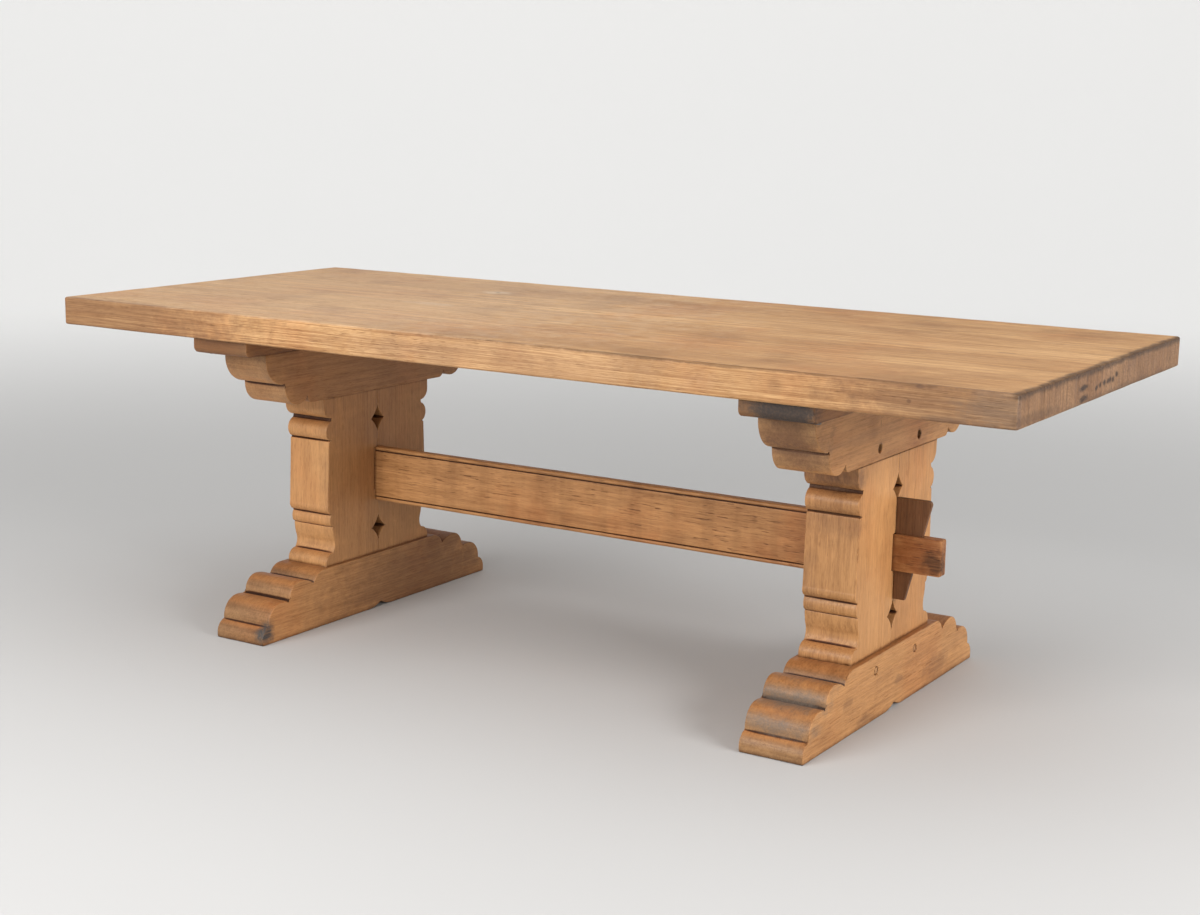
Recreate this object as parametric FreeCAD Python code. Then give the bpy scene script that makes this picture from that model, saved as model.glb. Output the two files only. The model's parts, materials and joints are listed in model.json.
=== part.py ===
"""Trestle dining table in solid oak, with a knock-down base.

A plank top lies on two bearers. Each bearer caps a trestle: a scrolled cap, a post of two
boards and a stepped foot, held by pegged tenons. One stretcher runs through both posts, and
a tapered wedge outside each post draws its shoulders tight.

Millimetres. The origin is on the floor under the middle of the top, +X runs along the top,
+Y across it and +Z up.
"""
import FreeCAD
import Part
import os

Vector = FreeCAD.Vector

# Top: planks edge to edge, listed from the front
plank_widths = (126.0, 174.0, 135.0, 135.0, 120.0, 160.0, 116.0)
top_length = 2300.0
top_thickness = 63.0
top_corner_radius = 8.0
top_arris = 3.0
tongue_thickness = 12.0
tongue_width = 36.0
tongue_stop = 70.0

# Bearers between the top and the caps
bearer_length = 930.0
bearer_thickness = 35.0
bearer_overhang_in = 6.0
bearer_overhang_out = 28.0
bearer_end_radius = 15.0
screw_diameter = 8.0
screw_tip_margin = 3.5
screw_head_width = 13.0
screw_head_height = 5.5
screw_end_margin = 36.0

# Trestles: where they stand and how thick their pieces are
trestle_spacing = 1355.0
foot_thickness = 138.0
post_thickness = 118.0
cap_thickness = 122.0
post_ledge_out = 13.0

# Foot: its steps, from the toe in to the deck under the post
toe_height = 41.0
toe_face = 17.0
toe_depth = 22.0
toe_ease = 4.0
lower_scroll_height = 45.0
lower_scroll_tread = 73.0
upper_scroll_height = 25.0
upper_scroll_tread = 84.0
scroll_riser = 4.0
lower_scroll_crown = 3.0
upper_scroll_crown = 15.0
ledge_height = 25.0
ledge_depth = 35.0
deck_margin = 18.0
accolade_width = 80.0
accolade_height = 12.0

# Post: heights of its mouldings from the foot up, and how far each sets in from its full width
post_width = 394.0
base_fillet = 8.0
base_ovolo = 22.0
base_cove = 32.0
base_band = 28.0
groove_height = 5.0
torus_height = 26.0
shoulder_height = 19.0
shaft_length = 152.0
bead_height = 43.0
neck_height = 7.0
crown_ovolo = 27.0
crown_fillet = 21.0
base_set = 2.0
ovolo_set = 26.0
cove_set = 30.0
band_set = 25.0
torus_set = 21.0
shaft_foot_set = 10.0
shaft_head_set = 16.0
bead_set = 25.0
groove_depth = 5.0

# Cap: a small hump beside the post, a round lobe and an ovolo out to its end
hump_flat = 43.0
hump_radius = 16.5
lobe_reach = 77.0
lobe_rise = 35.5
cap_ovolo_reach = 62.5
cap_ovolo_height = 58.0
cap_fillet = 16.0

# Tenons of the post boards and the pegs that lock them
post_tenon_width = 110.0
post_tenon_thickness = 40.0
post_tenon_centre = 98.0
cap_tenon_length = 70.0
foot_tenon_length = 90.0
peg_hole_diameter = 17.0
peg_flats = 13.6
peg_bite = 15.0
cap_peg_rise = 25.0
cap_peg_recess = 5.0
foot_peg_drop = 32.0
foot_peg_recess = 1.0

# Hidden loose tenons: across the post's joint, and up from each cap into its bearer
post_key_thickness = 16.0
post_key_height = 36.0
post_key_length = 70.0
cap_key_thickness = 16.0
cap_key_width = 60.0
cap_key_height = 50.0
cap_key_spacing = 480.0

# Stretcher, its through tenons, and the lozenges cut through the posts above and below it
stretcher_rise = 196.0
stretcher_height = 132.0
stretcher_thickness = 26.0
bead_radius = 5.0
quirk_width = 3.0
tenon_height = 76.0
tenon_projection = 106.0
tenon_chamfer = 3.0
lozenge_rise = 134.0
lozenge_width = 46.0
lozenge_height = 58.0

# Wedges
wedge_above = 114.0
wedge_below = 100.0
wedge_top_width = 78.0
wedge_tip_width = 26.0
wedge_thickness = 10.0
wedge_corner_radius = 8.0
wedge_draw = 6.0

# Clearances: in glued and pegged joints, and round the wedges, which slide
joint_gap = 0.15
slide_gap = 0.3

# Shapes of arcs, as rise over half chord: a quarter circle is 0.414
quarter = 0.414
soft_arc = 0.3
slight_arc = 0.12
crown_arc = 0.06
lobe_arc = 0.76
bead_arc = 0.6
bead_sweep = 0.767

# Sizes that follow
top_width = sum(plank_widths)
foot_height = toe_height + lower_scroll_height + upper_scroll_height + ledge_height
post_height = (base_fillet + base_ovolo + base_cove + base_band + torus_height + shoulder_height
               + shaft_length + bead_height + neck_height + crown_ovolo + crown_fillet + 3 * groove_height)
cap_height = hump_radius + lobe_rise + cap_ovolo_height + cap_fillet
post_half = post_width / 2
deck_half = post_half - base_set + deck_margin
foot_half = deck_half + ledge_depth + upper_scroll_tread + lower_scroll_tread + toe_depth

foot_top = foot_height
post_top = foot_top + post_height
cap_top = post_top + cap_height
bearer_top = cap_top + bearer_thickness
table_height = bearer_top + top_thickness
screw_length = bearer_thickness + (top_thickness - tongue_thickness) / 2 - screw_tip_margin
stretcher_z = foot_top + stretcher_rise

foot_in = (trestle_spacing - foot_thickness) / 2
post_out = foot_in + foot_thickness - post_ledge_out
post_in = post_out - post_thickness
post_mid = (post_in + post_out) / 2
cap_in = post_out - cap_thickness
bearer_in = cap_in - bearer_overhang_in
bearer_out = post_out + bearer_overhang_out
wedge_in = post_out + slide_gap


def outline(points):
    """Close a chain of (across, up) points; a third number bows the stretch that ends there outwards."""
    edges = []
    for start, end in zip(points, points[1:] + points[:1]):
        a = Vector(0, start[0], start[1])
        b = Vector(0, end[0], end[1])
        if (b - a).Length < 1e-6:
            continue
        bow = end[2] if len(end) > 2 else 0.0
        if bow:
            run = b - a
            middle = (a + b) * 0.5 + Vector(0, -run.z, run.y) * (bow / 2)
            edges.append(Part.Arc(a, middle, b).toShape())
        else:
            edges.append(Part.LineSegment(a, b).toShape())
    return Part.Face(Part.Wire(edges))


def mirrored(half):
    """Add the back half to a front half, listed from its lowest middle point round to its top."""
    back = []
    bow = 0.0
    for point in reversed(half):
        back.append((-point[0], point[1], bow))
        bow = point[2] if len(point) > 2 else 0.0
    return half + back


def board(points, x_from, x_to):
    """Saw an outline out of wood that lies between two X planes."""
    solid = outline(points).extrude(Vector(x_to - x_from, 0, 0))
    solid.translate(Vector(x_from, 0, 0))
    return solid


def block(low, high):
    """A squared piece between two corners."""
    size = Vector(*high) - Vector(*low)
    return Part.makeBox(size.x, size.y, size.z, Vector(*low))


def centred_block(centre, size, gap=0.0):
    """A squared piece about its centre, or the hole for it when a gap is given."""
    low = [c - s / 2 - gap for c, s in zip(centre, size)]
    high = [c + s / 2 + gap for c, s in zip(centre, size)]
    return block(low, high)


def rod(diameter, length, start, direction):
    return Part.makeCylinder(diameter / 2, length, Vector(*start), Vector(*direction))


def plank_edges():
    """Y of every plank's edges, from the front."""
    edges = [-top_width / 2]
    for width in plank_widths:
        edges.append(edges[-1] + width)
    return edges


# Top

def top_blank():
    """The whole top with its eased arrises, before it is parted into planks."""
    slab = block((-top_length / 2, -top_width / 2, bearer_top), (top_length / 2, top_width / 2, table_height))
    upright = [e for e in slab.Edges if abs(e.tangentAt(e.FirstParameter).z) > 0.9]
    slab = slab.makeFillet(top_corner_radius, upright)
    rims = [e for e in slab.Edges if e.BoundBox.ZLength < 1e-6]
    return slab.makeChamfer(top_arris, rims)


def tongues(gap=0.0):
    """Loose tongues along the planks' joints, stopped short of the ends."""
    z = (bearer_top + table_height) / 2
    size = (top_length - 2 * tongue_stop, tongue_width, tongue_thickness)
    return [centred_block((0, y, z), size, gap) for y in plank_edges()[1:-1]]


def screw_places(side):
    """Where a bearer's screws stand: in every other plank, in the strip that overhangs the cap."""
    x = side * (post_out + bearer_overhang_out / 2)
    limit = bearer_length / 2 - screw_end_margin
    edges = plank_edges()
    middles = [(a + b) / 2 for a, b in zip(edges, edges[1:])]
    return [(x, max(-limit, min(limit, y))) for y in middles[::2]]


def screw_hole(x, y):
    return rod(screw_diameter + 2 * joint_gap, screw_length + joint_gap, (x, y, cap_top), (0, 0, 1))


def screw(x, y):
    """A coach screw driven up through a bearer, its hexagon head under the bearer's face."""
    shank = rod(screw_diameter, screw_length, (x, y, cap_top), (0, 0, 1))
    corner = screw_head_width / 3 ** 0.5
    head = regular_prism(6, corner, screw_head_height, Vector(x, y, cap_top - screw_head_height))
    return head.fuse(shank)


def regular_prism(sides, corner, height, base):
    """An upright prism on a regular polygon, from the distance of its corners to its axis."""
    turn = FreeCAD.Rotation(Vector(0, 0, 1), 360 / sides)
    points = [Vector(corner, 0, 0)]
    for _ in range(sides):
        points.append(turn.multVec(points[-1]))
    prism = Part.Face(Part.makePolygon(points)).extrude(Vector(0, 0, height))
    prism.translate(base)
    return prism


def planks():
    """The top's planks, each grooved for its tongues and bored for its screws."""
    blank = top_blank()
    edges = plank_edges()
    holes = [screw_hole(x, y) for side in (-1, 1) for x, y in screw_places(side)]
    grooves = tongues(joint_gap)
    made = []
    for low, high in zip(edges, edges[1:]):
        strip = block((-top_length / 2, low, bearer_top), (top_length / 2, high, table_height))
        plank = blank.common(strip)
        near = [c for c in grooves + holes if c.BoundBox.YMax > low and c.BoundBox.YMin < high]
        made.append(plank.cut(near).Solids[0])
    return made


# Base pieces, all made for the +X trestle

def bearer():
    half = bearer_length / 2
    low, high = cap_top, bearer_top
    profile = [(0, low), (-half + bearer_end_radius, low), (-half, low + bearer_end_radius, quarter), (-half, high)]
    solid = board(mirrored(profile), bearer_in, bearer_out)
    holes = [screw_hole(x, y) for x, y in screw_places(1)]
    return solid.cut(holes + cap_keys(joint_gap))


def cap_keys(gap=0.0):
    """Loose tenons that stand half in the cap and half in its bearer."""
    x = (cap_in + post_out) / 2
    size = (cap_key_thickness, cap_key_width, cap_key_height)
    return [centred_block((x, y, cap_top), size, gap) for y in (-cap_key_spacing / 2, cap_key_spacing / 2)]


def cap():
    """A corbelled cap: hump, lobe and ovolo at each end, mortised for the post's tenons."""
    hump = post_half + hump_flat
    notch = hump + hump_radius
    corner = notch + lobe_reach
    end = corner + cap_ovolo_reach
    z_notch = post_top + hump_radius
    z_corner = z_notch + lobe_rise
    profile = [(0, post_top), (-hump, post_top), (-notch, z_notch, quarter), (-corner, z_corner, lobe_arc),
               (-end, z_corner + cap_ovolo_height, quarter), (-end, cap_top)]
    solid = board(mirrored(profile), cap_in, post_out)
    return solid.cut(post_tenons(1, joint_gap) + cap_keys(joint_gap) + peg_holes(cap_peg_z(), post_out))


def foot():
    """A stepped foot: toe, two scrolls and a rounded ledge at each end, over an ogee arch."""
    toe = foot_half - toe_depth
    step = toe - lower_scroll_tread
    ledge = step - upper_scroll_tread
    z_step = toe_height + lower_scroll_height
    z_ledge = z_step + upper_scroll_height
    profile = [(0, accolade_height), (-accolade_width / 2, 0, slight_arc),
               (-foot_half + toe_ease, 0), (-foot_half, toe_ease, quarter),
               (-foot_half, toe_face), (-toe, toe_height, soft_arc)]
    profile += scroll(toe, toe_height, step, z_step, lower_scroll_crown)
    profile += scroll(step, z_step, ledge, z_ledge, upper_scroll_crown)
    profile += [(-deck_half, foot_top, soft_arc)]
    foot_out = foot_in + foot_thickness
    solid = board(mirrored(profile), foot_in, foot_out)
    return solid.cut(post_tenons(-1, joint_gap) + peg_holes(foot_peg_z(), foot_out))


def scroll(y_from, z_from, y_to, z_to, crown):
    """One step of the foot: a short riser, a quarter round up to its crown, and a back that rolls down to the next."""
    top = z_to + crown
    radius = top - z_from - scroll_riser
    back = y_from - radius - y_to
    roll = ((back ** 2 + crown ** 2) ** 0.5 - back) / crown
    return [(-y_from, z_from + scroll_riser), (-y_from + radius, top, quarter), (-y_to, z_to, roll)]


def post_profile():
    """The post's moulded front edge, from the floor of the foot's deck up to the cap."""
    z = foot_top
    points = [(0, z), (-post_half + base_set, z)]

    def rise(height, set_in, bow=0.0):
        nonlocal z
        z += height
        points.append((-post_half + set_in, z, bow))

    def groove(set_in):
        rise(groove_height / 2, set_in + groove_depth)
        rise(groove_height / 2, set_in)

    rise(base_fillet, base_set)
    rise(base_ovolo, ovolo_set, quarter)
    rise(base_cove, cove_set, -soft_arc)
    rise(base_band, band_set, crown_arc)
    groove(torus_set)
    rise(torus_height, torus_set, soft_arc)
    groove(shaft_foot_set + groove_depth)
    rise(shoulder_height, shaft_foot_set, soft_arc)
    rise(shaft_length, shaft_head_set)
    groove(shaft_head_set)
    rise(bead_height, bead_set, bead_arc)
    rise(neck_height, crown_ovolo)
    rise(crown_ovolo, 0, quarter)
    rise(crown_fillet, 0)
    return points + [(0, z)]


def post_tenons(end, gap=0.0):
    """The two boards' tenons at the top (1) or bottom (-1) of a post."""
    half = post_tenon_thickness / 2 + gap
    if end > 0:
        low, high = post_top, post_top + cap_tenon_length + gap
    else:
        low, high = foot_top - foot_tenon_length - gap, foot_top
    reach = post_tenon_width / 2 + gap
    return [block((post_mid - half, y - reach, low), (post_mid + half, y + reach, high))
            for y in (-post_tenon_centre, post_tenon_centre)]


def lozenge(z):
    """A pierced lozenge with slightly hollow sides, right through the post at the boards' joint."""
    across, up = lozenge_width / 2, lozenge_height / 2
    points = [(0, z + up, -slight_arc), (across, z, -slight_arc), (0, z - up, -slight_arc), (-across, z, -slight_arc)]
    return board(points, post_in, post_out)


def post_board(side):
    """The front (-1) or back (1) board of a post: half of the mortise and lozenges is cut in its edge."""
    solid = board(post_profile(), post_in, post_out)
    tenons = post_tenons(1) + post_tenons(-1)
    pegs = peg_holes(cap_peg_z(), post_out) + peg_holes(foot_peg_z(), foot_in + foot_thickness)
    if side > 0:
        solid = solid.mirror(Vector(0, 0, 0), Vector(0, 1, 0))
    solid = solid.fuse([t for t in tenons if t.BoundBox.Center.y * side > 0]).removeSplitter()
    across = stretcher_thickness / 2 + joint_gap
    up = tenon_height / 2 + joint_gap
    mortise = block((post_in, -across, stretcher_z - up), (post_out, across, stretcher_z + up))
    lozenges = [lozenge(stretcher_z - lozenge_rise), lozenge(stretcher_z + lozenge_rise)]
    return solid.cut([mortise] + lozenges + post_keys(joint_gap) + pegs).Solids[0]


def post_keys(gap=0.0):
    """Loose tenons across the boards' joint, midway between the mortise and each lozenge."""
    rise = (tenon_height / 2 + lozenge_rise - lozenge_height / 2) / 2
    size = (post_key_thickness, post_key_length, post_key_height)
    return [centred_block((post_mid, 0, stretcher_z + dz), size, gap) for dz in (-rise, rise)]


def cap_peg_z():
    return post_top + cap_peg_rise


def foot_peg_z():
    return foot_top - foot_peg_drop


def peg_end():
    """X of the pegs' inner ends: past the tenon, in the far cheek."""
    return post_mid - post_tenon_thickness / 2 - peg_bite


def peg_holes(z, face):
    """Round blind holes for a trestle's two pegs, bored in from an outer face."""
    return [rod(peg_hole_diameter, face - peg_end() + joint_gap, (face, y, z), (-1, 0, 0))
            for y in (-post_tenon_centre, post_tenon_centre)]


def pegs(z, face, recess):
    """Square pegs with rounded corners that bite the wall of a round hole."""
    made = []
    length = face - recess - peg_end()
    for y in (-post_tenon_centre, post_tenon_centre):
        shaft = rod(peg_hole_diameter - 2 * joint_gap, length, (peg_end(), y, z), (1, 0, 0))
        flats = block((peg_end(), y - peg_flats / 2, z - peg_flats / 2),
                      (peg_end() + length, y + peg_flats / 2, z + peg_flats / 2))
        made.append(shaft.common(flats))
    return made


# Stretcher and wedges

def stretcher_section():
    """The stretcher's section: a bead and a quirk along each of its four arrises."""
    half, up, r = stretcher_thickness / 2, stretcher_height / 2, bead_radius
    quirk = r * (1 + 0.75 ** 0.5)
    lower = [(0, -up), (-half + r, -up), (-half + r / 2, -up + quirk, bead_sweep), (-half, -up + quirk + quirk_width)]
    upper = [(-half, up - quirk - quirk_width), (-half + r / 2, up - quirk), (-half + r, up, bead_sweep)]
    return [(y, stretcher_z + z) + tuple(bow) for y, z, *bow in mirrored(lower + upper)]


def wedge_edge(z):
    """X of the wedge's tapered outer edge at height z."""
    share = (z - stretcher_z + wedge_below) / (wedge_above + wedge_below)
    return wedge_in + wedge_tip_width + share * (wedge_top_width - wedge_tip_width)


def stretcher():
    body = board(stretcher_section(), -post_in, post_in)
    reach = post_out + tenon_projection
    half, up = stretcher_thickness / 2, tenon_height / 2
    tenon = block((-reach, -half, stretcher_z - up), (reach, half, stretcher_z + up))
    ends = [e for e in tenon.Edges if e.BoundBox.XLength < 1e-6]
    tenon = tenon.makeChamfer(tenon_chamfer, ends)
    whole = body.fuse(tenon).removeSplitter()
    mortise = key_mortise()
    return whole.cut([mortise, mortise.mirror(Vector(0, 0, 0), Vector(1, 0, 0))])


def key_mortise():
    """The slot for a wedge through the tenon; it starts inside the post so that the wedge can draw."""
    low, high = stretcher_z - tenon_height, stretcher_z + tenon_height
    half = wedge_thickness / 2 + slide_gap
    inner = post_out - wedge_draw
    corners = [(inner, low), (wedge_edge(low) + slide_gap, low), (wedge_edge(high) + slide_gap, high), (inner, high)]
    return upright_plate(corners, half)


def upright_plate(corners, half):
    """A plate in the X-Z plane from its corners, half its thickness each side of the middle."""
    points = [Vector(x, -half, z) for x, z in corners]
    return Part.Face(Part.makePolygon(points + points[:1])).extrude(Vector(0, 2 * half, 0))


def wedge():
    """A tapered key: straight against the post, tapered outside, with its top outer corner rounded."""
    low, high = stretcher_z - wedge_below, stretcher_z + wedge_above
    corners = [(wedge_in, low), (wedge_edge(low), low), (wedge_edge(high), high), (wedge_in, high)]
    plate = upright_plate(corners, wedge_thickness / 2)
    crown = [e for e in plate.Edges if abs(e.BoundBox.YLength - wedge_thickness) < 1e-6
             and e.BoundBox.ZMin > high - 1e-3 and e.BoundBox.XMin > wedge_in + 1]
    return plate.makeFillet(wedge_corner_radius, crown)


# Export

os.makedirs("parts", exist_ok=True)


def save(name, shape):
    solids = shape if isinstance(shape, list) else [shape]
    joined = solids[0] if len(solids) == 1 else Part.makeCompound(solids)
    joined.exportStep(f"parts/{name}.step")


def save_pair(name, shape):
    """Write a trestle's piece for the right end, and its mirror image for the left."""
    solids = shape if isinstance(shape, list) else [shape]
    save(f"right_{name}", solids)
    save(f"left_{name}", [s.mirror(Vector(0, 0, 0), Vector(1, 0, 0)) for s in solids])


for number, plank in enumerate(planks(), 1):
    save(f"top_plank_{number}", plank)
save("plank_tongues", tongues())
save("stretcher", stretcher())
save_pair("bearer", bearer())
save_pair("bearer_screws", [screw(x, y) for x, y in screw_places(1)])
save_pair("cap", cap())
save_pair("cap_keys", cap_keys())
save_pair("cap_pegs", pegs(cap_peg_z(), post_out, cap_peg_recess))
save_pair("front_post_board", post_board(-1))
save_pair("back_post_board", post_board(1))
save_pair("post_keys", post_keys())
save_pair("foot", foot())
save_pair("foot_pegs", pegs(foot_peg_z(), foot_in + foot_thickness, foot_peg_recess))
save_pair("wedge", wedge())
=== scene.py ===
"""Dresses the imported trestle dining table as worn, waxed oak and stands it in a pale studio.

Every wooden piece that shows is a copy of its CAD node with rounded arrises, sliced finely enough for a
Geometry Nodes tree to wear it. One oak pattern runs round a heart line in each piece, so that faces and
end grain belong together.
"""
import json
import math

import bmesh
import bpy
from bpy.props import FloatProperty, FloatVectorProperty, IntProperty, PointerProperty
from mathutils import Euler, Matrix, Vector


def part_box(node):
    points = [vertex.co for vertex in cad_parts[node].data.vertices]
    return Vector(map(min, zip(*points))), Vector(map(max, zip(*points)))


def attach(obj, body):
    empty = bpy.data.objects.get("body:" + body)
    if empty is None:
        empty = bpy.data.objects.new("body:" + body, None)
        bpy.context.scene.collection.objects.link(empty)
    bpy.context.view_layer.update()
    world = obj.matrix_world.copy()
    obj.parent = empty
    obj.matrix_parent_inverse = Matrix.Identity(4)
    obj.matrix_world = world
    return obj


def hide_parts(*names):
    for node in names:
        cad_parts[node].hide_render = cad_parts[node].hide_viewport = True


bl_info = {
    "name": "Worn Oak Trestle Table",
    "version": (1, 0, 0),
    "blender": (4, 5, 0),
    "location": "View3D > Sidebar > Table",
    "description": "Dresses a packed trestle table as worn oak and lights it",
    "category": "Object",
}

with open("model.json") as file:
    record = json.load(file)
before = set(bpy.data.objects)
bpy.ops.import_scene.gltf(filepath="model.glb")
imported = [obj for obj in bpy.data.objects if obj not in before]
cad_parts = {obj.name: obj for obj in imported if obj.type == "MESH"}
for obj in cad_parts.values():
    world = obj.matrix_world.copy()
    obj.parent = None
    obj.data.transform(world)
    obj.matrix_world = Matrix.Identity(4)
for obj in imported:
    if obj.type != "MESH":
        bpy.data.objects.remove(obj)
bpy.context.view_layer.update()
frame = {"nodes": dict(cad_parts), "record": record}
SIDES = ("left", "right")
PLANKS = tuple(sorted(n for n in frame["nodes"] if n.startswith("top_plank_")))
X, Y, Z = range(3)

# Points closer than MERGE are one, and points closer to a plane than SNAP lie in it
MERGE = 1e-6
SNAP = 1e-5
# Facets that bend less than FLAT_ANGLE are one face, and edges that bend more than ARRIS_ANGLE are rounded;
# in shading, only edges over SHARP_ANGLE stay sharp
FLAT_ANGLE = math.radians(0.3)
ARRIS_ANGLE = math.radians(26)
SHARP_ANGLE = math.radians(38)
# A share of a cell, which keeps the cuts off a piece's own edges
CUT_SHIFT = 0.037
# A place on Y that no piece reaches
NO_JOINT = 9.0
# Steps of this share spread the planks' hearts and tones, so that no neighbours are alike
GOLDEN = 0.618
# How far a log's rings bow over a piece and ripple along it, in metres
RING_BOW = 0.06
RING_RIPPLE = 0.004

# What the oak's colour is multiplied by, where each kind of darkening lies
TINTS = {
    "blush": (0.93, 0.76, 0.66, 1),
    "cloud": (0.62, 0.56, 0.52, 1),
    "smear": (0.7, 0.62, 0.56, 1),
    "tool marks": (0.5, 0.45, 0.42, 1),
    # painted upward shade: faces that look up are darkened as painted shade of the top over the trestles
    "painted upward shade": (0.62, 0.5, 0.42, 1),
    # hollow and deep hollow: dark patina in hollows and creases, deepened by painted shade there
    "hollow": (0.34, 0.225, 0.155, 1),
    "deep hollow": (0.2, 0.15, 0.11, 1),
    "grime": (0.2, 0.155, 0.13, 1),
    "seam": (0.3, 0.22, 0.16, 1),
    "pore": (0.66, 0.58, 0.52, 1),
    "fleck": (0.3, 0.22, 0.17, 1),
}


def colour(name, default, description):
    return FloatVectorProperty(name=name, description=description, default=default, size=4, min=0, max=1,
                               subtype="COLOR")


def length(name, default, description):
    return FloatProperty(name=name, description=description, default=default, min=0, unit="LENGTH",
                         precision=4)


def power(name, default, description):
    return FloatProperty(name=name, description=description, default=default, min=0, unit="POWER")


class OakFinish(bpy.types.PropertyGroup):
    """Tones of the wood and of the screws."""

    # The top's tones carry a little extra blue, which paints the white studio's sheen on the top into its
    # colour
    top_pale: colour("Top, pale", (0.66, 0.395, 0.182, 1), "Smooth wood of the plank top")
    top_brown: colour("Top, brown", (0.38, 0.195, 0.077, 1), "Porous wood of the plank top")
    base_pale: colour("Base, pale", (0.6, 0.305, 0.118, 1), "Smooth wood of the trestles and stretcher")
    base_brown: colour("Base, brown", (0.29, 0.13, 0.045, 1), "Porous wood of the trestles and stretcher")
    key_pale: colour("Wedges, pale", (0.21, 0.098, 0.042, 1), "Smooth wood of the wedges and cap pegs")
    key_brown: colour("Wedges, brown", (0.105, 0.046, 0.019, 1), "Porous wood of the wedges and cap pegs")
    # crack_and_shadow also paints the shadow round the caps' pegs, and painted shade on the right bearer's
    # end
    crack_and_shadow: colour("Cracks", (0.036, 0.016, 0.007, 1), "Cracks, nail holes and burns")
    slate: colour("Slate stain", (0.05, 0.05, 0.049, 1), "Grey-blue stain that iron and damp leave in oak")
    # The stain colour also paints shade on the left trestle's inner faces and the shadow on the right cap's
    # front
    stain: colour("Brown stain", (0.17, 0.08, 0.038, 1), "Old wax and hand grease")
    # The worn colour also paints sheen and highlights on the top
    worn: colour("Worn patch", (0.72, 0.6, 0.46, 1), "Places rubbed bare of wax")
    # Grey-brown that paints part of the sheen on the right foot's lobes, and a grey stain near the top's
    # front corner
    grey_stain_and_sheen: colour("Dusky lobes", (0.15, 0.115, 0.088, 1), "Grey bloom on the feet's carved lobes")
    tenon: colour("Tenon ends", (0.23, 0.078, 0.022, 1), "Red-brown wax on the stretcher's ends")
    steel: colour("Screws", (0.2, 0.185, 0.165, 1), "Dull steel of the coach screws")
    rust: colour("Rust", (0.17, 0.075, 0.035, 1), "Rust on the coach screws")
    ring_width: length("Ring width", 0.0038, "Average width of a year's growth")


class WornEdges(bpy.types.PropertyGroup):
    """How far use has rounded and chipped the pieces."""

    top_arris: length("Top arris", 0.0012, "Rounding of the planks' edges")
    base_arris: length("Base arris", 0.0019, "Rounding of the trestles' edges")
    joint_share: FloatProperty(name="Joint share", description="Rounding kept along tight joints, as a share",
                               default=0.15, min=0, max=1, subtype="FACTOR")
    wave_height: length("Wave height", 0.0006, "Depth of the hollows left by planing and wear")
    wave_size: length("Wave size", 0.09, "Distance between those hollows")
    chip_depth: length("Chip depth", 0.002, "Depth of the chips along the arrises")
    chip_size: length("Chip size", 0.022, "Distance between those chips")
    seed: IntProperty(name="Seed", description="Start of every random pattern", default=11, min=0)


class Studio(bpy.types.PropertyGroup):
    """Camera, lights and floor."""

    camera_place: FloatVectorProperty(name="Camera", description="Where the camera stands", size=3,
                                      default=(2.239, -3.549, 1.263), subtype="TRANSLATION", unit="LENGTH")
    camera_turn: FloatVectorProperty(name="Camera turn", description="Tilt, roll and heading of the camera",
                                     default=(math.radians(78.92), math.radians(0.91), math.radians(32.06)),
                                     size=3, subtype="EULER", unit="ROTATION")
    lens: FloatProperty(name="Lens", description="Focal length on a sensor 36 mm wide", default=57.33, min=1,
                        unit="CAMERA")
    floor: colour("Floor", (0.5, 0.495, 0.488, 1), "Pale studio floor")
    backdrop: colour("Backdrop", (0.5, 0.5, 0.495, 1), "Glow of the floor's far rim")
    front_power: power("Front", 140, "Light from the front")
    side_power: power("Side", 165, "Light from the right")
    ceiling_power: power("Ceiling", 437, "Light from above")
    room: FloatProperty(name="Room", description="Brightness of the room around", default=0.07, min=0)


class Flow:
    """A socket in a node tree: arithmetic on it adds Math nodes, and node() adds any other kind."""

    def __init__(self, tree, socket=None):
        self.tree = tree
        self.socket = socket

    def node(self, kind, settings=None, inputs=None, output=0):
        """Add a node, with its settings first and then the values or links of its sockets."""
        made = self.tree.nodes.new(kind)
        for name, value in (settings or {}).items():
            setattr(made, name, value)
        for key, value in (inputs or {}).items():
            if isinstance(value, Flow):
                self.tree.links.new(value.socket, made.inputs[key])
            else:
                made.inputs[key].default_value = value
        return Flow(self.tree, made.outputs[output])

    def math(self, operation, *values):
        return self.node("ShaderNodeMath", {"operation": operation}, dict(enumerate((self,) + values)))

    def vector(self, operation, *values, output=0):
        return self.node("ShaderNodeVectorMath", {"operation": operation},
                         dict(enumerate((self,) + values)), output)

    def smooth(self, low, high, start=0.0, end=1.0):
        """Ease from start to end as the value goes from low to high."""
        return self.node("ShaderNodeMapRange", {"interpolation_type": "SMOOTHSTEP"},
                         {0: self, 1: low, 2: high, 3: start, 4: end})

    def axes(self):
        """The three parts of a vector."""
        made = self.node("ShaderNodeSeparateXYZ", None, {0: self})
        return [Flow(self.tree, s) for s in made.socket.node.outputs]

    def joined(self, second, third):
        return self.node("ShaderNodeCombineXYZ", None, {0: self, 1: second, 2: third})

    def noise(self, scale, detail, roughness=0.5, output=0):
        return self.node("ShaderNodeTexNoise", None, {"Vector": self, "Scale": scale, "Detail": detail,
                                                      "Roughness": roughness}, output)

    def between(self, low, high, blend="MIX"):
        """Mix two colours by this value."""
        return self.node("ShaderNodeMix", {"data_type": "RGBA", "blend_type": blend, "clamp_factor": True},
                         {0: self, 6: low, 7: high}, 2)

    def __add__(self, other):
        return self.math("ADD", other)

    __radd__ = __add__

    def __sub__(self, other):
        return self.math("SUBTRACT", other)

    def __rsub__(self, other):
        return (self * -1.0).math("ADD", other)

    def __mul__(self, other):
        return self.math("MULTIPLY", other)

    __rmul__ = __mul__

    def __truediv__(self, other):
        return self.math("DIVIDE", other)

    def __rtruediv__(self, other):
        return self.math("POWER", -1.0) * other


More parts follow.
